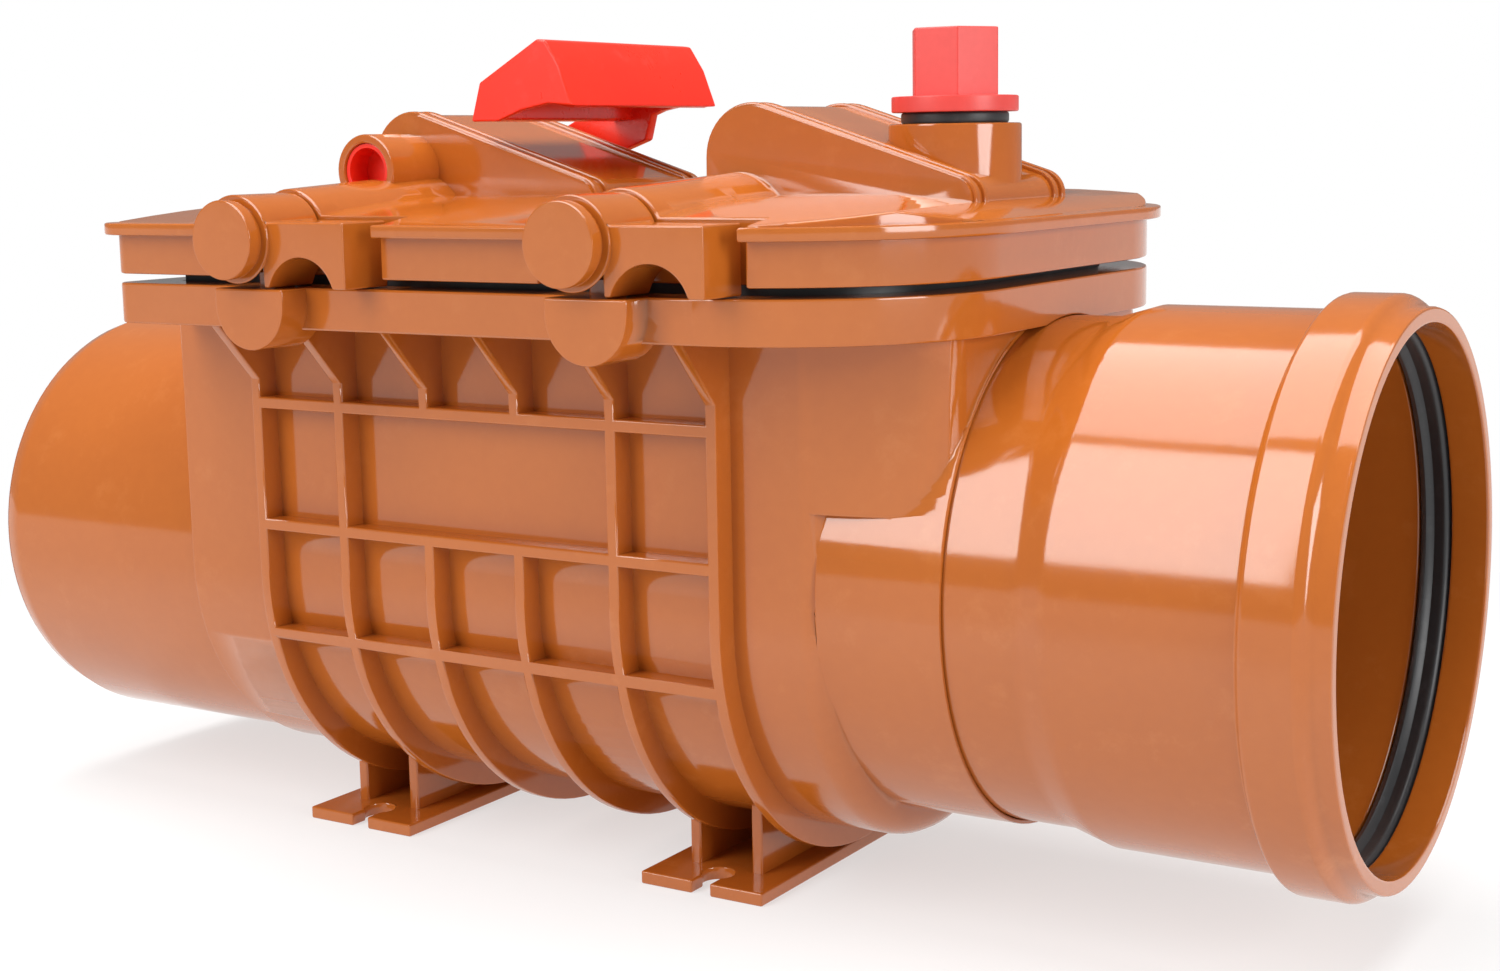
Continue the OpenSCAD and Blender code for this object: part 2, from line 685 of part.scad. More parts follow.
module flap(x) {
    xf = x - flap_back;
    color(C_PLATE) difference() {
        union() {
            tube_x(xf, xf + flap_t, flap_r, 0, outlet_z);
            translate([xf, -ear_y + side_gap + 2, outlet_z + flap_r - 14])
                cube([flap_t, 2 * (ear_y - side_gap - 2), hinge_up + 14]);
            rod_y(x - hinge_off, hinge_z, -ear_y + side_gap, ear_y - side_gap, knuckle_r);
        }
        rod_y(x - hinge_off, hinge_z, -ear_y - ear_w, ear_y + ear_w, pin_r + run_clear);
        keeper_holes(xf - 1, flap_t + 2, screw_shank_r);
    }
}

module keeper_holes(x, h, r) {
    for (i = [0:screw_n - 1]) translate([x, 0, outlet_z])
        rotate([i * 360 / screw_n, 0, 0]) translate([0, screw_pcr, 0]) rotate([0, 90, 0]) cylinder(r = r, h = h);
}

module flap_seal(x) {
    color(C_RUBBER) tube_x(x - frame_t - seat_lip - flap_seal_t + 0.05, x - frame_t - seat_lip - 0.3, flap_r, keeper_r, outlet_z);
    color(C_RUBBER) tube_x(x - frame_t - seat_lip - flap_seal_t, x - frame_t - seat_lip - flap_seal_t + 1, flap_r, keeper_r - 3, outlet_z);
}

module keeper(x) {
    x1 = x - frame_t - seat_lip - flap_seal_t;
    color(C_METAL) difference() {
        union() {
            tube_x(x1, x1 + 1, keeper_r - 3, 0, outlet_z);
            tube_x(x1 + 1, x1 + keeper_t, keeper_r, 0, outlet_z);
        }
        keeper_holes(x1 - 1, keeper_t + 2, screw_shank_r);
    }
}

module keeper_screws(x) {
    x1 = x - frame_t - seat_lip - flap_seal_t;
    color(C_METAL) {
        keeper_holes(x1 + keeper_t, 2, screw_head_r);
        keeper_holes(x1 - flap_t, flap_t + keeper_t + 0.5, screw_shank_r);
    }
}

// Barrel that holds a clamp's shaft: a fairing on the lid and a tube under it
module lid_barrel(x, room) {
    run = pocket_y - hump_hw + hump_wall / 2 - room;
    intersection() {
        translate([x, -pocket_y, clamp_z]) rotate([-90, 0, 0]) cylinder(r1 = clamp_barrel_r, r2 = clamp_barrel_r1, h = run);
        translate([x - 2 * disc_r, -pocket_y - 1, plate_z]) cube([4 * disc_r, run + 2, 2 * disc_r]);
    }
    rod_y(x, clamp_z, -pocket_y, -pocket_y + clamp_shaft_len + pocket_wall, clamp_tube_r);
}

module lid_pocket(x) {
    y0 = -arm_y - disc_t;
    translate([x - claw_r - pocket_side, y0, skirt_z - 1])
        cube([claw_r + arm_reach + 2 * pocket_side, -pocket_y - y0, deck_z + claw_r - skirt_z]);
}

module lid_pocket_wall(x) {
    side = pocket_side + pocket_wall;
    intersection() {
        translate([x - claw_r - side, -flange_hw - overhang, skirt_z])
            cube([claw_r + arm_reach + 2 * side, flange_hw + overhang - pocket_y + pocket_wall, skirt_h + 1]);
        translate([0, 0, skirt_z]) linear_extrude(height = skirt_h + plate_t) plan(0);
    }
}

// Top of the lid: plate and crown, hollow below
module lid_top() {
    difference() {
        union() {
            translate([0, 0, plate_z]) linear_extrude(height = plate_t) plan(overhang);
            crown(0, overhang - rim_w);
        }
        crown(-plate_t, -gasket_inset - gasket_w);
    }
}

module lid() {
    color(C_BODY) difference() {
        union() {
            plan_ring(0, -skirt_t, skirt_z, plate_z + 1);
            lid_top();
            plan_ring(-gasket_inset - gasket_play, -gasket_inset - gasket_w + gasket_play, skirt_z + 0.5, plate_z + 1);
            at_front_and_rear() for (x = clamp_x) lid_pocket_wall(x);
            for (x = clamp_x) {
                lid_barrel(x, 0);
                mirror([0, 1, 0]) lid_barrel(x, rear_room);
            }
            for (x = hump_x) {
                translate([x, 0, nose_z]) slab_y(-hump_hw, hump_hw) hump_outline(0);
                for (y = [hump_hw - 1 - ridge_w, hump_hw - 4 - 2 * ridge_w], s = [-1, 1])
                    translate([x, 0, nose_z]) slab_y(s > 0 ? y : -y - ridge_w, s > 0 ? y + ridge_w : -y)
                        hump_outline(ridge_h);
            }
            rod_y(hump_xa, shaft_z, -hump_hw - barrel_reach, hump_hw + barrel_rear, barrel_r);
            translate([port_x, 0, plate_z]) cylinder(r = port_r, h = port_top - plate_z);
        }
        at_front_and_rear() for (x = clamp_x) {
            lid_pocket(x);
            rod_y(x, clamp_z, -pocket_y - 1, -pocket_y + clamp_shaft_len + side_gap, clamp_shaft_r + run_clear);
        }
        for (x = hump_x) difference() {
            union() {
                translate([x, 0, nose_z]) slab_y(-hump_hw + hump_wall, hump_hw - hump_wall) hump_outline(-hump_wall);
                translate([x - nose_r + hump_wall, -hump_hw + hump_wall, plate_z - 1])
                    cube([nose_r + hump_len - 2 * hump_wall, 2 * (hump_hw - hump_wall), plate_t + 2]);
            }
            translate([port_x, 0, plate_z - 2]) cylinder(r = port_r, h = port_top);
        }
        rod_y(hump_xa, shaft_z, -hump_hw - barrel_reach - 1, 0, lock_shaft_r + run_clear);
        rod_y(hump_xa, shaft_z, 0, hump_hw + barrel_rear + 1, lock_end_r + run_clear);
        translate([port_x, 0, plate_z - 1]) cylinder(r = port_bore, h = port_h + plate_t + 2);
        plan_ring(-gasket_inset, -gasket_inset - gasket_w, flange_top, skirt_z + 0.5);
    }
}

module lid_gasket() {
    color(C_RUBBER) plan_ring(-gasket_inset - gasket_play, -gasket_inset - gasket_w + gasket_play, flange_top - groove_d, skirt_z + 0.5);
}

// Clamp on the front: disc, claw cup, arm and shaft
module clamp(x) {
    z0 = flange_top + side_gap;
    arm_back = arm_y - arm_depth;
    far = 3 * claw_r;
    color(C_BODY) translate([x, 0, clamp_z]) difference() {
        union() {
            rod_y(0, 0, -arm_y - disc_t, -arm_y, disc_r);
            rod_y(0, 0, -arm_y - 1, -pocket_y + clamp_shaft_len, clamp_shaft_r);
            difference() {
                rod_y(0, 0, -arm_y - 1, -cup_back, claw_r);
                rod_y(0, 0, -arm_y + eps, -cup_back + 1, claw_in);
                slab_y(-arm_y, -arm_y + claw_depth) polygon([[0, 0], [far * cos(210), far * sin(210)],
                    [far * cos(330), far * sin(330)]]);
                slab_y(-arm_y + claw_depth, -cup_back + 1) polygon([[0, 0], [far * cos(145), far * sin(145)],
                    [-far, -far], [far * cos(330), far * sin(330)]]);
            }
            slab_y(-arm_y, -arm_back) difference() {
                translate([claw_in - 1, z0 - clamp_z]) square([arm_reach - claw_in + 1, arm_h]);
                circle(r = claw_in);
                translate([arch_x, z0 - clamp_z + arch_rise - arch_r]) circle(r = arch_r);
            }
        }
        difference() {
            rod_y(0, 0, -arm_y - 1 - disc_groove_w, -arm_y - 1, claw_r);
            rod_y(0, 0, -arm_y - 2 - disc_groove_w, -arm_y, disc_r - disc_groove_d);
        }
    }
}

module lock_shaft() {
    y0 = -hump_hw - barrel_reach + 1;
    y1 = hump_hw + barrel_rear + side_gap + hub_t;
    color(C_RED) difference() {
        union() {
            rod_y(hump_xa, shaft_z, y0, hump_hw - hump_wall - side_gap, lock_shaft_r);
            rod_y(hump_xa, shaft_z, 0, y1, lock_end_r);
        }
        rod_y(hump_xa, shaft_z, y0 - 1, y0 + lock_bore_d, lock_shaft_bore);
        rod_y(hump_xa, shaft_z, y1 - 14, y1 + 1, screw_shank_r);
        shaft_grooves(1);
    }
}

// Grooves of the two shaft rings, grown by d
module shaft_grooves(d) {
    for (g = [[-hump_hw - barrel_reach / 2, lock_shaft_r], [hump_hw + barrel_rear / 2, lock_end_r]]) difference() {
        rod_y(hump_xa, shaft_z, g[0] - 1, g[0] + 1, g[1] + d);
        rod_y(hump_xa, shaft_z, g[0] - 2, g[0] + 2, g[1] - 1);
    }
}

module shaft_o_rings() {
    color(C_RUBBER) shaft_grooves(0);
}

// Arm inside the lid that presses the outlet flap shut
module lock_arm() {
    color(C_RED) translate([hump_xa, 0, shaft_z]) slab_y(-lock_arm_w / 2, lock_arm_w / 2) difference() {
        union() {
            circle(r = lock_shaft_r + lock_hub_wall);
            rotate(lock_arm_a) {
                translate([0, -lock_arm_ht]) square([lock_arm_len, 2 * lock_arm_ht]);
                translate([lock_arm_len, 0]) circle(r = lock_pad_r);
            }
        }
        circle(r = lock_shaft_r);
    }
}

// Outer line of the lever's grip in side view, its shaft axis at the origin
function grip_line() = [[grip_near, grip_low], [grip_near + grip_lean, grip_low + grip_face],
    [grip_ridge, grip_high], [grip_ridge + grip_flat, grip_high - grip_t / 6],
    [grip_far - 5, grip_tip + grip_face], [grip_far, grip_tip]];

// Side view of the grip's end walls
module grip_cap() {
    mid = (grip_near + grip_far) / 2;
    polygon(concat(grip_line(), [[grip_far - 10, grip_tip + 1], [mid, grip_tip - 1], [mid - 10, grip_low]]));
}

// The same grip between its end walls, as a bent plate
module grip_outline() {
    polygon(concat(grip_line(), [[grip_far - grip_t, grip_tip - 0.5], [grip_far - 5 - grip_t, grip_tip + grip_face - 2],
        [grip_ridge + grip_flat - 2, grip_high - 4.5], [grip_ridge - 1, grip_high - 4.5],
        [grip_near + grip_lean + grip_t + 2, grip_low + grip_face - 2.5], [grip_near + grip_t + 6, grip_low + 0.5]]));
}

module lock_lever() {
    y0 = -grip_hw + grip_t;
    y1 = hump_hw + barrel_rear + side_gap;
    color(C_RED) translate([hump_xa, 0, shaft_z]) difference() {
        union() {
            slab_y(-grip_hw, y0) grip_cap();
            slab_y(y0, y1) grip_outline();
            slab_y(y1, y1 + hub_t) {
                grip_cap();
                circle(r = hub_r);
                polygon([[0, -hub_r], [grip_near, lever_low - 5], [grip_near + 14.5, lever_low], [grip_near + 18, grip_tip + 1],
                    [grip_near + 9, grip_low + grip_face], [-2, hub_r - 0.2]]);
            }
        }
        rod_y(0, 0, y1 - 1, y1 + hub_t + 1, lock_end_r);
    }
}

module lever_screw() {
    y1 = hump_hw + barrel_rear + side_gap + hub_t;
    color(C_METAL) {
        rod_y(hump_xa, shaft_z, y1, y1 + 3, lock_end_r + 1.5);
        rod_y(hump_xa, shaft_z, y1 - 12, y1 + 1, screw_shank_r);
    }
}

module test_plug() {
    zf = port_top + oring_h;
    color(C_PLUG) translate([port_x, 0, 0]) {
        translate([0, 0, zf]) cylinder(r = plug_flange_r, h = plug_flange_t);
        translate([0, 0, zf + plug_flange_t - 0.5]) cylinder(d = plug_af / cos(30), h = plug_hex_h + 0.5, $fn = 6);
        difference() {
            translate([0, 0, port_top - stem_len]) cylinder(r = port_bore - run_clear, h = stem_len + oring_h + 0.5);
            for (i = [0:floor((stem_len - 4) / thread_pitch) - 1])
                translate([0, 0, port_top - stem_len + 2 + i * thread_pitch]) difference() {
                    cylinder(r = port_bore + 1, h = thread_pitch / 2);
                    translate([0, 0, -1]) cylinder(r = port_bore - thread_d, h = thread_pitch);
                }
        }
    }
}

module test_plug_o_ring() {
    color(C_RUBBER) translate([port_x, 0, port_top]) difference() {
        cylinder(r = plug_flange_r - 3, h = oring_h);
        translate([0, 0, -1]) cylinder(r = port_bore + 0.1, h = oring_h + 2);
    }
}

housing();
outlet_spigot();
inlet_socket();
socket_seal();
seat(seat_xa);  // outlet_seat
seat(seat_xb);  // inlet_seat
hinge_pin(seat_xa);  // outlet_hinge_pin
hinge_pin(seat_xb);  // inlet_hinge_pin
flap(seat_xa);  // outlet_flap
flap_seal(seat_xa);  // outlet_flap_seal
keeper(seat_xa);  // outlet_flap_keeper
keeper_screws(seat_xa);  // outlet_keeper_screws
flap(seat_xb);  // inlet_flap
flap_seal(seat_xb);  // inlet_flap_seal
keeper(seat_xb);  // inlet_flap_keeper
keeper_screws(seat_xb);  // inlet_keeper_screws
lid();
lid_gasket();
clamp(clamp_xa);  // clamp_front_outlet
clamp(clamp_xb);  // clamp_front_inlet
mirror([0, 1, 0]) clamp(clamp_xa);  // clamp_rear_outlet
mirror([0, 1, 0]) clamp(clamp_xb);  // clamp_rear_inlet
lock_shaft();
lock_arm();
lock_lever();
lever_screw();
shaft_o_rings();
test_plug();
test_plug_o_ring();
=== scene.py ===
"""Looks of a backwater valve: moulded edges, finishes, studio light and camera.

Metres. X runs along the pipe towards the inlet socket, Z is up and the feet stand on Z = 0.
"""

from __future__ import annotations

import json
import logging
import math
from contextlib import contextmanager
from dataclasses import dataclass, field
from enum import Enum
from typing import Iterator

import bpy
from mathutils import Matrix, Vector

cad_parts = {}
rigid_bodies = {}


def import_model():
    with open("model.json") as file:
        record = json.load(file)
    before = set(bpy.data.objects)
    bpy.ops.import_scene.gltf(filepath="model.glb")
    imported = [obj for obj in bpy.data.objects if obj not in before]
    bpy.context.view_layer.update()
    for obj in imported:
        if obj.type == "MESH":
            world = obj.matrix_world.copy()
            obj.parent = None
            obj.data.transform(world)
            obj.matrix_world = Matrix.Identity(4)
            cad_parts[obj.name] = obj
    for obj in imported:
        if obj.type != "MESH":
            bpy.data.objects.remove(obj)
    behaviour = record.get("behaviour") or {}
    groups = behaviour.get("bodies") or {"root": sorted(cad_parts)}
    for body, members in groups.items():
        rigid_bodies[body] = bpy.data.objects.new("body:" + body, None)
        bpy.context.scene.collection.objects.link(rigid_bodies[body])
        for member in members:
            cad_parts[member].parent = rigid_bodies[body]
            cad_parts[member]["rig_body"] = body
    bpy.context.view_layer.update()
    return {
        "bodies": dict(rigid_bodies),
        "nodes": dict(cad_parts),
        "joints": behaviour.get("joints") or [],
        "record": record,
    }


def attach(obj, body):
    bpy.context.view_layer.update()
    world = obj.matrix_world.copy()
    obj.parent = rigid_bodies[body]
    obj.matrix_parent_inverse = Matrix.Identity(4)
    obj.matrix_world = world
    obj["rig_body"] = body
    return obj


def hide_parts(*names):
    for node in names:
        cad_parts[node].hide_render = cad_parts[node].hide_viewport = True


LOG = logging.getLogger("valve")
MM = 0.001

Colour = tuple[float, float, float]


class Slot(Enum):
    """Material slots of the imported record."""

    ORANGE = "orange_pvc"
    LEVER = "red_lever"
    PLUG = "red_plug"
    RUBBER = "black_rubber"
    GREY = "grey_plastic"
    STEEL = "stainless_steel"


@dataclass(frozen=True)
class Cut:
    """A line that parts flat faces with windows in them.

    Attributes:
        facing: Normal of the faces.
        level: Distance of the faces from the origin along their normal.
        place: A point of the cutting plane.
        across: Normal of the cutting plane.
    """

    facing: tuple[float, float, float]
    level: float
    place: tuple[float, float, float]
    across: tuple[float, float, float]


class Bench:
    """The workbench: selecting, editing and finishing meshes with operators.

    Attributes:
        ROOM: Least depth of a face beside a rounded edge, in roundings.
        JOIN: Distance under which the points of a turned piece are one.
    """

    ROOM = 1.6
    JOIN = 1e-6

    @staticmethod
    def clear() -> None:
        """Deselects every object."""
        for other in bpy.context.selected_objects:
            other.select_set(False)

    @classmethod
    def take(cls, piece: bpy.types.Object) -> None:
        """Makes a piece the only selected and active object.

        Args:
            piece: The object to work on.
        """
        cls.clear()
        piece.select_set(True)
        bpy.context.view_layer.objects.active = piece

    @classmethod
    @contextmanager
    def editing(cls, piece: bpy.types.Object) -> Iterator[None]:
        """Holds a piece in edit mode with everything selected.

        Args:
            piece: The mesh to edit.
        """
        cls.take(piece)
        bpy.ops.object.mode_set(mode="EDIT")
        bpy.ops.mesh.select_mode(type="VERT")
        bpy.ops.mesh.select_all(action="SELECT")
        yield
        bpy.ops.object.mode_set(mode="OBJECT")

    @classmethod
    def apply(cls, piece: bpy.types.Object, modifier: bpy.types.Modifier) -> None:
        """Applies one modifier to its piece.

        Args:
            piece: The object that holds the modifier.
            modifier: The modifier to apply.
        """
        cls.take(piece)
        bpy.ops.object.modifier_apply(modifier=modifier.name)

    @classmethod
    def smooth(cls, piece: bpy.types.Object, degrees: float = 32.0) -> None:
        """Shades a piece smooth, with sharp edges kept and large faces left flat.

        Args:
            piece: The mesh to shade.
            degrees: The angle from which an edge stays sharp.
        """
        cls.take(piece)
        bpy.ops.object.shade_smooth_by_angle(angle=math.radians(degrees))
        weighted = piece.modifiers.new("even_shading", "WEIGHTED_NORMAL")
        weighted.keep_sharp = True
        cls.apply(piece, weighted)

    @staticmethod
    def _depth(mesh: bpy.types.Mesh, face: bpy.types.MeshPolygon, key: tuple[int, int]) -> float:
        """Measures how far a face reaches from one of its edges.

        Args:
            mesh: The mesh of the face.
            face: The face.
            key: The vertices of the edge.

        Returns:
            The reach in metres.
        """
        start = mesh.vertices[key[0]].co
        along = (mesh.vertices[key[1]].co - start).normalized()
        return max((mesh.vertices[v].co - start).cross(along).length for v in face.vertices)

    @staticmethod
    def _hollow(mesh: bpy.types.Mesh, edge: bpy.types.MeshEdge,
                faces: list[bpy.types.MeshPolygon]) -> bool:
        """Tells an inner corner from an outer edge.

        Args:
            mesh: The mesh of the edge.
            edge: The edge.
            faces: The two faces of the edge.

        Returns:
            True where the faces meet in an inner corner.
        """
        first, second = faces
        ring = list(first.vertices)
        place = ring.index(edge.vertices[0])
        forward = ring[(place + 1) % len(ring)] == edge.vertices[1]
        start, end = (mesh.vertices[v].co for v in edge.vertices)
        along = end - start if forward else start - end
        return first.normal.cross(second.normal).dot(along) < 0.0

    @classmethod
    def round_edges(cls, piece: bpy.types.Object, radius: float, segments: int = 2,
                    degrees: float = 30.0) -> None:
        """Rounds the outer edges of a mesh where both faces are deep enough.

        Args:
            piece: The mesh to round.
            radius: Width of the rounding in metres.
            segments: Faces across a rounding.
            degrees: The angle from which an edge is rounded.
        """
        mesh = piece.data
        sides: dict[tuple[int, int], list[bpy.types.MeshPolygon]] = {}
        for face in mesh.polygons:
            for key in face.edge_keys:
                sides.setdefault(key, []).append(face)
        chosen = mesh.attributes.new("bevel_weight_edge", "FLOAT", "EDGE")
        for edge in mesh.edges:
            faces = sides.get(edge.key, [])
            if len(faces) != 2:
                continue
            fold = faces[0].normal.angle(faces[1].normal, 0.0)
            if fold < math.radians(degrees) or cls._hollow(mesh, edge, faces):
                continue
            if min(cls._depth(mesh, face, edge.key) for face in faces) > cls.ROOM * radius:
                chosen.data[edge.index].value = 1.0
        bevel = piece.modifiers.new("edges", "BEVEL")
        bevel.width = radius
        bevel.segments = segments
        bevel.limit_method = "WEIGHT"
        bevel.use_clamp_overlap = False
        bevel.miter_outer = "MITER_ARC"
        cls.apply(piece, bevel)

    @classmethod
    def turned(cls, name: str, profile: list[tuple[float, float]], centre: Vector, axis: Vector,
               steps: int = 128) -> bpy.types.Object:
        """Turns a closed outline round an axis, as on a lathe.

        Args:
            name: Name of the piece.
            profile: Closed outline as (radius, distance along the axis) pairs, in metres.
            centre: A point on the axis, from which the distances count.
            axis: Direction of the axis, along X, Y or Z.
            steps: Faces round the axis.

        Returns:
            The turned piece.
        """
        cls.clear()
        bpy.ops.mesh.primitive_circle_add(vertices=len(profile), radius=profile[0][0], fill_type="NOTHING")
        piece = bpy.context.active_object
        piece.name = name
        outward = Vector((0.0, 0.0, 1.0)) if abs(axis.z) < 0.5 else Vector((1.0, 0.0, 0.0))
        for vertex, (radius, along) in zip(piece.data.vertices, profile):
            vertex.co = centre + outward * radius + axis * along
        with cls.editing(piece):
            bpy.ops.mesh.spin(steps=steps, angle=2.0 * math.pi, center=centre, axis=axis)
            bpy.ops.mesh.select_all(action="SELECT")
            bpy.ops.mesh.remove_doubles(threshold=cls.JOIN)
            bpy.ops.mesh.normals_make_consistent(inside=False)
        return piece


class Effects:
    """Shader node groups that several finishes share.

    Attributes:
        TONE: Slow and fine cells to a metre in the colour.
        PEEL: Slow and fine cells to a metre in the skin.
        RUB: Cells to a metre of the marks and of their places.
    """

    TONE = (9.0, 260.0)
    PEEL = (45.0, 900.0)
    RUB = (55.0, 6.0)

    def __init__(self) -> None:
        """Builds each group once."""
        self.tone = self._tone()
        self.peel = self._peel()
        self.rub = self._rub()

    @staticmethod
    def _group(name: str, sockets: dict[str, float], output: str) -> bpy.types.NodeTree:
        """Makes an empty group with its sockets and Object coordinates.

        Args:
            name: Name of the group.
            sockets: Inputs with their usual values.
            output: Name of the one output.

        Returns:
            The new group.
        """
        tree = bpy.data.node_groups.new(name, "ShaderNodeTree")
        for label, value in sockets.items():
            socket = tree.interface.new_socket(label, in_out="INPUT", socket_type="NodeSocketFloat")
            socket.default_value = value
        tree.interface.new_socket(output, in_out="OUTPUT", socket_type="NodeSocketFloat")
        for kind in ("NodeGroupInput", "NodeGroupOutput", "ShaderNodeTexCoord"):
            tree.nodes.new(kind)
        return tree

    @staticmethod
    def _noise(tree: bpy.types.NodeTree, scale: float, detail: float,
               label: str | None = None) -> bpy.types.Node:
        """Adds a noise on Object coordinates.

        Args:
            tree: The group.
            scale: Cells to a metre.
            detail: Octaves.
            label: Group input that multiplies the scale.

        Returns:
            The noise node.
        """
        noise = tree.nodes.new("ShaderNodeTexNoise")
        noise.inputs["Scale"].default_value = scale
        noise.inputs["Detail"].default_value = detail
        tree.links.new(tree.nodes["Texture Coordinate"].outputs["Object"], noise.inputs["Vector"])
        if label:
            times = tree.nodes.new("ShaderNodeMath")
            times.operation = "MULTIPLY"
            times.inputs[1].default_value = scale
            tree.links.new(tree.nodes["Group Input"].outputs[label], times.inputs[0])
            tree.links.new(times.outputs[0], noise.inputs["Scale"])
        return noise

    @staticmethod
    def _sum(tree: bpy.types.NodeTree,
             parts: list[tuple[bpy.types.NodeSocket, float]]) -> bpy.types.NodeSocket:
        """Adds weighted values.

        Args:
            tree: The group.
            parts: Sockets with their weights.

        Returns:
            The socket of the sum.
        """
        total = None
        for socket, weight in parts:
            step = tree.nodes.new("ShaderNodeMath")
            step.operation = "MULTIPLY_ADD"
            tree.links.new(socket, step.inputs[0])
            step.inputs[1].default_value = weight
            if total is None:
                step.inputs[2].default_value = 0.0
            else:
                tree.links.new(total, step.inputs[2])
            total = step.outputs[0]
        return total

    def _tone(self) -> bpy.types.NodeTree:
        """Slow and fine colour mottling of a moulding.

        Returns:
            The group, with output Tone.
        """
        tree = self._group("mould_tone", {"Grain": 1.0}, "Tone")
        slow = self._noise(tree, self.TONE[0], 3.0, "Grain")
        fine = self._noise(tree, self.TONE[1], 4.0, "Grain")
        total = self._sum(tree, [(slow.outputs["Fac"], 0.75), (fine.outputs["Fac"], 0.25)])
        spread = tree.nodes.new("ShaderNodeMapRange")
        spread.inputs["From Min"].default_value = 0.35
        spread.inputs["From Max"].default_value = 0.65
        tree.links.new(total, spread.inputs["Value"])
        tree.links.new(spread.outputs["Result"], tree.nodes["Group Output"].inputs["Tone"])
        return tree

    def _peel(self) -> bpy.types.NodeTree:
        """The slight waviness and fine texture of a moulded skin.

        Returns:
            The group, with output Height.
        """
        tree = self._group("mould_peel", {"Grain": 1.0}, "Height")
        wave = self._noise(tree, self.PEEL[0], 2.0, "Grain")
        fine = self._noise(tree, self.PEEL[1], 3.0, "Grain")
        total = self._sum(tree, [(wave.outputs["Fac"], 0.8), (fine.outputs["Fac"], 0.2)])
        tree.links.new(total, tree.nodes["Group Output"].inputs["Height"])
        return tree

    def _rub(self) -> bpy.types.NodeTree:
        """Thin handling marks, as a mask.

        Returns:
            The group, with output Marks.
        """
        tree = self._group("handling_rub", {"Grain": 1.0}, "Marks")
        lines = self._noise(tree, self.RUB[0], 6.0, "Grain")
        lines.inputs["Roughness"].default_value = 0.7
        places = self._noise(tree, self.RUB[1], 2.0)
        band = tree.nodes.new("ShaderNodeMapRange")
        band.inputs["From Min"].default_value = 0.56
        band.inputs["From Max"].default_value = 0.72
        both = tree.nodes.new("ShaderNodeMath")
        both.operation = "MULTIPLY"
        tree.links.new(lines.outputs["Fac"], band.inputs["Value"])
        tree.links.new(band.outputs["Result"], both.inputs[0])
        tree.links.new(places.outputs["Fac"], both.inputs[1])
        tree.links.new(both.outputs[0], tree.nodes["Group Output"].inputs["Marks"])
        return tree


@dataclass(frozen=True)
class Finish:
    """A procedural finish.

    Attributes:
        name: Name of the material.
        colour: Base colour, linear.
        shade: Darker partner of the base colour, linear.
        roughness: Lowest and highest roughness.
        marks: Colour of rubbed places, linear.
        grain: Size of the pattern, more is finer.
        bump: Strength of the skin's waviness.
        bump_depth: Depth of the skin's waviness in metres.
        metallic: Metallic share.
        sheen: Weight of the sheen.
        specular: Strength of the reflections.
    """

    name: str
    colour: Colour
    shade: Colour
    roughness: tuple[float, float]
    marks: Colour
    grain: float = 1.0
    bump: float = 0.12
    bump_depth: float = 0.4 * MM
    metallic: float = 0.0
    sheen: float = 0.0
    specular: float = 0.5

    def material(self, effects: Effects) -> bpy.types.Material:
        """Builds the material.

        Args:
            effects: The shared node groups.

        Returns:
            The new material.
        """
        made = bpy.data.materials.new(self.name)
        made.use_nodes = True
        tree = made.node_tree
        shader = tree.nodes["Principled BSDF"]
        shader.inputs["Metallic"].default_value = self.metallic
        shader.inputs["Sheen Weight"].default_value = self.sheen
        shader.inputs["Specular IOR Level"].default_value = self.specular
        placed = {}
        for label, group in (("tone", effects.tone), ("peel", effects.peel), ("rub", effects.rub)):
            node = tree.nodes.new("ShaderNodeGroup")
            node.node_tree = group
            node.inputs["Grain"].default_value = self.grain
            placed[label] = node
        body = self._mix(tree, self.colour, self.shade)
        tree.links.new(placed["tone"].outputs["Tone"], body.inputs["Factor"])
        rubbed = self._mix(tree, None, self.marks)
        tree.links.new(placed["rub"].outputs["Marks"], rubbed.inputs["Factor"])
        tree.links.new(body.outputs["Result"], rubbed.inputs["A"])
        tree.links.new(rubbed.outputs["Result"], shader.inputs["Base Color"])
        gloss = tree.nodes.new("ShaderNodeMapRange")
        gloss.inputs["To Min"].default_value, gloss.inputs["To Max"].default_value = self.roughness
        tree.links.new(placed["tone"].outputs["Tone"], gloss.inputs["Value"])
        tree.links.new(gloss.outputs["Result"], shader.inputs["Roughness"])
        bump = tree.nodes.new("ShaderNodeBump")
        bump.inputs["Strength"].default_value = self.bump
        bump.inputs["Distance"].default_value = self.bump_depth
        tree.links.new(placed["peel"].outputs["Height"], bump.inputs["Height"])
        tree.links.new(bump.outputs["Normal"], shader.inputs["Normal"])
        return made

    @staticmethod
    def _mix(tree: bpy.types.NodeTree, a: Colour | None, b: Colour) -> ColourMix:
        """Adds a colour mix.

        Args:
            tree: The material's nodes.
            a: First colour, or None where it is linked.
            b: Second colour.

        Returns:
            The sockets of the new mix.
        """
        mix = tree.nodes.new("ShaderNodeMix")
        mix.data_type = "RGBA"
        colours = ColourMix(mix)
        if a is not None:
            colours.inputs["A"].default_value = (*a, 1.0)
        colours.inputs["B"].default_value = (*b, 1.0)
        return colours


class ColourMix:
    """A colour mix node, with only its colour sockets by name."""

    def __init__(self, node: bpy.types.Node) -> None:
        """Finds the sockets of the colour mode.

        Args:
            node: A mix node in colour mode.
        """
        self.inputs = {"Factor": node.inputs[0], "A": node.inputs[6], "B": node.inputs[7]}
        self.outputs = {"Result": node.outputs[2]}


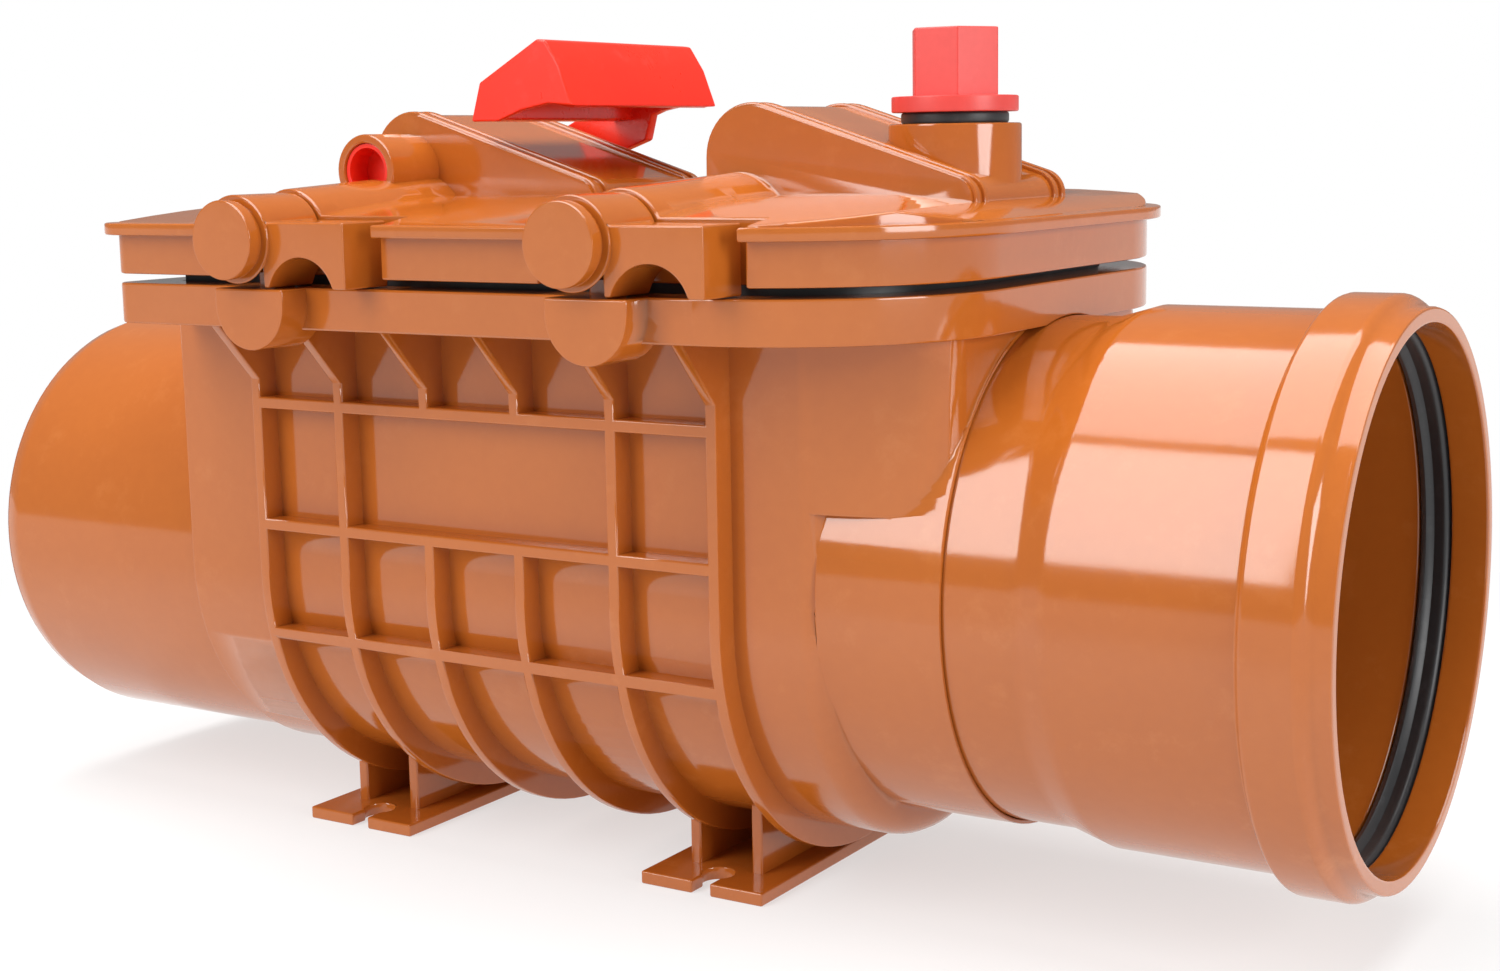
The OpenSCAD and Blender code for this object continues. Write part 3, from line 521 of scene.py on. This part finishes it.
FINISHES: dict[Slot, Finish] = {
    Slot.ORANGE: Finish("orange_pvc", (0.46, 0.122, 0.016), (0.42, 0.106, 0.013), (0.08, 0.13),
                        (0.51, 0.155, 0.032), bump=0.10, specular=0.75),
    Slot.LEVER: Finish("red_lever", (0.90, 0.030, 0.009), (0.80, 0.022, 0.007), (0.24, 0.33),
                       (0.82, 0.07, 0.05), grain=1.6),
    Slot.PLUG: Finish("red_plug", (0.72, 0.066, 0.056), (0.64, 0.054, 0.046), (0.34, 0.44),
                      (0.78, 0.12, 0.11), grain=1.6),
    Slot.RUBBER: Finish("black_rubber", (0.016, 0.017, 0.019), (0.024, 0.025, 0.027), (0.36, 0.50),
                        (0.06, 0.06, 0.062), grain=2.0, bump=0.2, sheen=0.1),
    Slot.GREY: Finish("grey_plastic", (0.24, 0.25, 0.27), (0.20, 0.21, 0.23), (0.38, 0.50),
                      (0.30, 0.31, 0.33), grain=1.3),
    Slot.STEEL: Finish("stainless_steel", (0.60, 0.61, 0.63), (0.52, 0.53, 0.55), (0.22, 0.36),
                       (0.66, 0.67, 0.68), grain=3.0, metallic=1.0),
}


class MouldedCopy:
    """A CAD node's own shape, merged to one skin, with the rounded edges of a moulding.

    Attributes:
        WELD: Distance under which points are one.
        FLAT: Angle under which two faces are one.
        SQUARE: Least cosine between a parted face and the cut's facing.
        NEAR: Greatest distance of a parted face from the cut's level.
    """

    WELD = 2e-5
    FLAT = math.radians(0.3)
    SQUARE = 0.99
    NEAR = 0.2 * MM

    def __init__(self, frame: dict, node: str, radius: float, cuts: tuple[Cut, ...] = ()) -> None:
        """Keeps what to copy.

        Args:
            frame: The loaded frame.
            node: Name of the CAD node.
            radius: Rounding of its edges in metres.
            cuts: Planes that part faces with windows in them.
        """
        self.frame = frame
        self.node = node
        self.radius = radius
        self.cuts = cuts

    def build(self) -> bpy.types.Object:
        """Makes the copy and lets it stand for its node.

        Returns:
            The new piece, on its node's body.
        """
        source = self.frame["nodes"][self.node]
        piece = bpy.data.objects.new(self.node + "_moulded", source.data.copy())
        bpy.context.scene.collection.objects.link(piece)
        with Bench.editing(piece):
            bpy.ops.mesh.remove_doubles(threshold=self.WELD)
        for cut in self.cuts:
            self._part(piece, cut)
        with Bench.editing(piece):
            bpy.ops.mesh.dissolve_limited(angle_limit=self.FLAT, delimit={"SEAM"})
        Bench.round_edges(piece, self.radius)
        Bench.smooth(piece)
        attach(piece, source["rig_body"])
        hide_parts(self.node)
        return piece

    @classmethod
    def _part(cls, piece: bpy.types.Object, cut: Cut) -> None:
        """Parts the faces of one plane by a line across them.

        Args:
            piece: The mesh.
            cut: Which faces are parted, and where.
        """
        facing = Vector(cut.facing)
        bpy.context.scene.tool_settings.mesh_select_mode = (False, False, True)
        for face in piece.data.polygons:
            apart = abs(face.center.dot(facing) - cut.level)
            face.select = face.normal.dot(facing) > cls.SQUARE and apart < cls.NEAR
        Bench.take(piece)
        bpy.ops.object.mode_set(mode="EDIT")
        bpy.ops.mesh.select_mode(type="EDGE")
        bpy.ops.mesh.bisect(plane_co=cut.place, plane_no=cut.across)
        bpy.ops.mesh.mark_seam(clear=False)
        bpy.ops.object.mode_set(mode="OBJECT")


@dataclass
class Assembly:
    """A sub-assembly: nodes with the rounding of their edges.

    Attributes:
        frame: The loaded frame.
        paints: Materials by slot name.
        slots: Slot name of each node.
        edges: Rounding in millimetres of each node.
        cuts: Planes that part a node's faces with windows in them.
    """

    frame: dict
    paints: dict[str, bpy.types.Material]
    slots: dict[str, str]
    edges: dict[str, float] = field(default_factory=dict)
    cuts: dict[str, tuple[Cut, ...]] = field(default_factory=dict)

    def build(self) -> list[bpy.types.Object]:
        """Builds and dresses every node of the sub-assembly.

        Returns:
            The pieces.
        """
        pieces = []
        for node, radius in self.edges.items():
            copy = MouldedCopy(self.frame, node, radius * MM, self.cuts.get(node, ()))
            pieces.append(self.dress(copy.build(), node))
        return pieces

    def dress(self, piece: bpy.types.Object, node: str) -> bpy.types.Object:
        """Gives a piece the finish of its node.

        Args:
            piece: The piece to dress.
            node: The CAD node it stands for.

        Returns:
            The same piece.
        """
        name = self.slots[node]
        piece.data.materials.clear()
        piece.data.materials.append(self.paints[name])
        LOG.info("%s: %d faces", piece.name, len(piece.data.polygons))
        return piece


@dataclass
class Chamber(Assembly):
    """Housing with its flap seats.

    Attributes:
        rib_face: Distance of the ribs' outer faces from the middle plane.
        window_rows: Heights of the rows of windows between the ribs.
    """

    edges: dict[str, float] = field(default_factory=lambda: {
        "housing": 0.7, "outlet_seat": 0.4, "inlet_seat": 0.4,
        "outlet_hinge_pin": 0.4, "inlet_hinge_pin": 0.4})
    rib_face: float = 90.0 * MM
    window_rows: tuple[float, ...] = (105.0 * MM, 137.0 * MM, 172.0 * MM)

    def __post_init__(self) -> None:
        """Parts the ribs' outer faces through each row of windows."""
        self.cuts = {"housing": tuple(
            Cut((0.0, side, 0.0), self.rib_face, (0.0, 0.0, height), (0.0, 0.0, 1.0))
            for side in (-1.0, 1.0) for height in self.window_rows)}


@dataclass
class PipeEnds(Assembly):
    """Spigot, socket and the socket's sealing ring.

    Attributes:
        axis_z: Height of the inlet axis.
        seal_x: Middle plane of the ring.
        seal_half: Half width of the ring.
        seal_out: Outer radius of the ring.
        lip_in: Inner radius of the ring's lips.
    """

    edges: dict[str, float] = field(default_factory=lambda: {"outlet_spigot": 1.2, "inlet_socket": 1.0})
    axis_z: float = 108.0 * MM
    seal_x: float = 241.5 * MM
    seal_half: float = 4.9 * MM
    seal_out: float = 85.5 * MM
    lip_in: float = 79.0 * MM

    def build(self) -> list[bpy.types.Object]:
        """Builds the pipe ends and the ring.

        Returns:
            The pieces.
        """
        return super().build() + [self.seal()]

    def seal(self) -> bpy.types.Object:
        """Turns the ring, with a heel, a valley and two lips.

        Returns:
            The ring.
        """
        half, out, lip = self.seal_half, self.seal_out, self.lip_in
        profile = [
            (out, -half + 1.0 * MM), (out - 1.0 * MM, -half), (lip + 3.0 * MM, -half),
            (lip + 0.8 * MM, -half + 1.0 * MM), (lip + 0.1 * MM, -half + 2.4 * MM),
            (lip + 0.6 * MM, -half + 3.4 * MM), (lip + 1.8 * MM, -0.3 * MM),
            (lip + 1.4 * MM, half - 3.2 * MM), (lip + 0.9 * MM, half - 2.0 * MM),
            (lip + 1.4 * MM, half - 0.8 * MM), (lip + 3.2 * MM, half),
            (out - 1.0 * MM, half), (out, half - 1.0 * MM),
        ]
        centre = Vector((self.seal_x, 0.0, self.axis_z))
        piece = Bench.turned("socket_seal_ring", profile, centre, Vector((1.0, 0.0, 0.0)), 160)
        Bench.smooth(piece, 50.0)
        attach(piece, self.frame["nodes"]["socket_seal"]["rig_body"])
        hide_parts("socket_seal")
        return self.dress(piece, "socket_seal")


@dataclass
class Lid(Assembly):
    """Lid, its gasket and its four clamps."""

    edges: dict[str, float] = field(default_factory=lambda: {
        "lid": 0.7, "lid_gasket": 0.4,
        "clamp_front_outlet": 0.6, "clamp_front_inlet": 0.6,
        "clamp_rear_outlet": 0.6, "clamp_rear_inlet": 0.6})


@dataclass
class HandLock(Assembly):
    """Lever, shaft, arm, screw and rings of the hand lock.

    Attributes:
        axis: X and Z of the shaft.
        head_y: Plane under the screw's head.
        head_r: Radius of the screw's head.
        head_h: Height of the screw's head.
        shank_r: Radius of the screw's shank.
        shank_len: Length of the screw's shank.
        slot_w: Width of the cross recess.
        slot_l: Length of the cross recess.
        slot_d: Depth of the cross recess.
    """

    edges: dict[str, float] = field(default_factory=lambda: {
        "lock_shaft": 0.3, "lock_arm": 0.6, "lock_lever": 0.8, "shaft_o_rings": 0.3})
    axis: tuple[float, float] = (-86.5 * MM, 235.0 * MM)
    head_y: float = 46.4 * MM
    head_r: float = 7.5 * MM
    head_h: float = 3.0 * MM
    shank_r: float = 2.0 * MM
    shank_len: float = 12.0 * MM
    slot_w: float = 1.4 * MM
    slot_l: float = 7.0 * MM
    slot_d: float = 1.8 * MM

    def build(self) -> list[bpy.types.Object]:
        """Builds the lock and its screw.

        Returns:
            The pieces.
        """
        return super().build() + [self.screw()]

    def screw(self) -> bpy.types.Object:
        """Turns the pan head screw and cuts its cross recess.

        Returns:
            The screw.
        """
        r, h, s, n = self.head_r, self.head_h, self.shank_r, self.shank_len
        profile = [
            (0.0, -n), (s - 0.4 * MM, -n), (s, -n + 0.6 * MM), (s, 0.0),
            (r - 0.2 * MM, 0.0), (r, 0.3 * MM), (r, h * 0.45),
            (r * 0.93, h * 0.72), (r * 0.75, h * 0.92), (r * 0.45, h), (0.0, h),
        ]
        centre = Vector((self.axis[0], self.head_y, self.axis[1]))
        piece = Bench.turned("lever_screw_head", profile, centre, Vector((0.0, 1.0, 0.0)), 48)
        for size in ((self.slot_l, self.slot_w), (self.slot_w, self.slot_l)):
            self._cut(piece, centre, size)
        Bench.smooth(piece, 40.0)
        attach(piece, self.frame["nodes"]["lever_screw"]["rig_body"])
        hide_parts("lever_screw")
        return self.dress(piece, "lever_screw")

    def _cut(self, piece: bpy.types.Object, centre: Vector, size: tuple[float, float]) -> None:
        """Cuts one slot of the cross recess.

        Args:
            piece: The screw.
            centre: Point under the head on the screw's axis.
            size: Length of the slot along X and along Z.
        """
        Bench.clear()
        place = centre + Vector((0.0, self.head_h, 0.0))
        bpy.ops.mesh.primitive_cube_add(size=1.0, location=place)
        cutter = bpy.context.active_object
        cutter.scale = (size[0], 2.0 * self.slot_d, size[1])
        bpy.ops.object.transform_apply(location=True, rotation=True, scale=True)
        cut = piece.modifiers.new("recess", "BOOLEAN")
        cut.operation = "DIFFERENCE"
        cut.solver = "EXACT"
        cut.object = cutter
        Bench.apply(piece, cut)
        bpy.data.objects.remove(cutter, do_unlink=True)


@dataclass
class TestPlug(Assembly):
    """Threaded plug and its ring."""

    edges: dict[str, float] = field(default_factory=lambda: {"test_plug": 0.5, "test_plug_o_ring": 0.8})


@dataclass
class Flaps(Assembly):
    """The two swing flaps with their rubber, keepers and screws."""

    edges: dict[str, float] = field(default_factory=lambda: {
        f"{side}_{part}": radius for side in ("outlet", "inlet")
        for part, radius in (
            ("flap", 0.5), ("flap_seal", 0.3), ("flap_keeper", 0.3), ("keeper_screws", 0.25))})


@dataclass(frozen=True)
class SoftBox:
    """A soft box.

    Attributes:
        name: Name of the lamp.
        place: Where it hangs.
        aim: The point that it faces.
        size: Width and height in metres.
        power: Power in watts.
    """

    name: str
    place: tuple[float, float, float]
    aim: tuple[float, float, float]
    size: tuple[float, float]
    power: float

    def hang(self) -> None:
        """Adds the lamp to the scene."""
        data = bpy.data.lights.new(self.name, "AREA")
        data.shape = "RECTANGLE"
        data.size, data.size_y = self.size
        data.energy = self.power
        lamp = bpy.data.objects.new(self.name, data)
        lamp.location = self.place
        lamp.rotation_euler = (Vector(self.aim) - Vector(self.place)).to_track_quat("-Z", "Y").to_euler()
        bpy.context.scene.collection.objects.link(lamp)


SOFT_BOXES = (
    SoftBox("front_box", (-0.72, -1.5, 1.5), (-0.40, 0.0, 1.0), (1.0, 2.0), 38.0),
    SoftBox("top_box", (0.0, 0.1, 1.5), (0.0, 0.0, 0.1), (1.7, 1.4), 30.0),
    SoftBox("side_box", (1.9, -0.35, 0.6), (0.2, 0.0, 0.12), (0.9, 0.9), 20.0),
)


@dataclass
class Studio:
    """Floor, lights and camera.

    Attributes:
        eye: Place of the camera.
        yaw: Turn of the camera from +Y, in degrees.
        pitch: Tilt below the horizon, in degrees.
        roll: Roll, in degrees.
        focal_px: Focal length in pixels of the photograph.
        photo_width_px: Width of the photograph in pixels.
        sensor: Width of the sensor in millimetres.
        floor_size: Width of the floor.
        floor_tone: Grey of the floor.
        floor_glow: Least share of the floor's own white light.
        fade: Distances between which the floor brightens to white.
        sky_light: Strength of the backdrop's light on the object.
    """

    eye: tuple[float, float, float] = (0.4205, -0.6259, 0.2427)
    yaw: float = 31.96
    pitch: float = 8.97
    roll: float = -0.94
    focal_px: float = 2175.0
    photo_width_px: float = 1500.0
    sensor: float = 36.0
    floor_size: float = 30.0
    floor_tone: float = 0.93
    floor_glow: float = 0.6
    fade: tuple[float, float] = (0.26, 0.62)
    sky_light: float = 0.30

    def camera(self) -> None:
        """Places the camera at the photograph's view."""
        yaw, pitch, roll = (math.radians(v) for v in (self.yaw, self.pitch, self.roll))
        flat = math.cos(pitch)
        forward = Vector((-math.sin(yaw) * flat, math.cos(yaw) * flat, -math.sin(pitch)))
        level = Vector((math.cos(yaw), math.sin(yaw), 0.0))
        upright = level.cross(forward)
        right = level * math.cos(roll) + upright * math.sin(roll)
        up = upright * math.cos(roll) - level * math.sin(roll)
        data = bpy.data.cameras.new("photo_view")
        data.sensor_width = self.sensor
        data.lens = self.sensor * self.focal_px / self.photo_width_px
        data.clip_start = 0.01
        data.clip_end = 50.0
        camera = bpy.data.objects.new("photo_view", data)
        columns = (right, up, -forward, Vector(self.eye))
        camera.matrix_world = Matrix([[c[i] for c in columns] for i in range(3)] + [[0.0, 0.0, 0.0, 1.0]])
        bpy.context.scene.collection.objects.link(camera)
        bpy.context.scene.camera = camera

    def floor(self) -> None:
        """Lays a pale floor that brightens to white away from the object."""
        Bench.clear()
        bpy.ops.mesh.primitive_plane_add(size=self.floor_size)
        floor = bpy.context.active_object
        floor.name = "floor"
        made = bpy.data.materials.new("pale_floor")
        made.use_nodes = True
        tree = made.node_tree
        shader = tree.nodes["Principled BSDF"]
        shader.inputs["Base Color"].default_value = (*(self.floor_tone,) * 3, 1.0)
        shader.inputs["Roughness"].default_value = 0.7
        shader.inputs["Specular IOR Level"].default_value = 0.2
        white = tree.nodes.new("ShaderNodeEmission")
        white.inputs["Strength"].default_value = 1.0
        where = tree.nodes.new("ShaderNodeTexCoord")
        reach = tree.nodes.new("ShaderNodeVectorMath")
        reach.operation = "LENGTH"
        fade = tree.nodes.new("ShaderNodeMapRange")
        fade.interpolation_type = "SMOOTHSTEP"
        fade.inputs["From Min"].default_value, fade.inputs["From Max"].default_value = self.fade
        fade.inputs["To Min"].default_value = self.floor_glow
        mixed = tree.nodes.new("ShaderNodeMixShader")
        tree.links.new(where.outputs["Object"], reach.inputs[0])
        tree.links.new(reach.outputs["Value"], fade.inputs["Value"])
        tree.links.new(fade.outputs["Result"], mixed.inputs["Fac"])
        tree.links.new(shader.outputs["BSDF"], mixed.inputs[1])
        tree.links.new(white.outputs["Emission"], mixed.inputs[2])
        tree.links.new(mixed.outputs["Shader"], tree.nodes["Material Output"].inputs["Surface"])
        floor.data.materials.append(made)

    def sky(self) -> None:
        """Sets a white backdrop that lights the object only dimly."""
        world = bpy.data.worlds.new("studio")
        world.use_nodes = True
        tree = world.node_tree
        dim = tree.nodes["Background"]
        dim.inputs["Color"].default_value = (1.0, 1.0, 1.0, 1.0)
        dim.inputs["Strength"].default_value = self.sky_light
        white = tree.nodes.new("ShaderNodeBackground")
        white.inputs["Color"].default_value = (1.0, 1.0, 1.0, 1.0)
        white.inputs["Strength"].default_value = 1.0
        path = tree.nodes.new("ShaderNodeLightPath")
        mixed = tree.nodes.new("ShaderNodeMixShader")
        tree.links.new(path.outputs["Is Camera Ray"], mixed.inputs["Fac"])
        tree.links.new(dim.outputs["Background"], mixed.inputs[1])
        tree.links.new(white.outputs["Background"], mixed.inputs[2])
        tree.links.new(mixed.outputs["Shader"], tree.nodes["World Output"].inputs["Surface"])
        bpy.context.scene.world = world
        bpy.context.scene.view_settings.view_transform = "Standard"

    def lights(self) -> None:
        """Hangs the soft boxes."""
        for box in SOFT_BOXES:
            box.hang()


def main() -> None:
    """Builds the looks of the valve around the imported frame."""
    logging.basicConfig(level=logging.INFO)
    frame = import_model()
    effects = Effects()
    paints = {slot.value: finish.material(effects) for slot, finish in FINISHES.items()}
    slots = {row["node"]: row["material_slot"] for row in frame["record"]["subparts"]}
    studio = Studio()
    studio.camera()
    for assembly in (Chamber, PipeEnds, Lid, HandLock, TestPlug, Flaps):
        pieces = assembly(frame, paints, slots).build()
        LOG.info("%s: %d pieces", assembly.__name__, len(pieces))
    studio.floor()
    studio.sky()
    studio.lights()


if __name__ == "__main__":
    main()
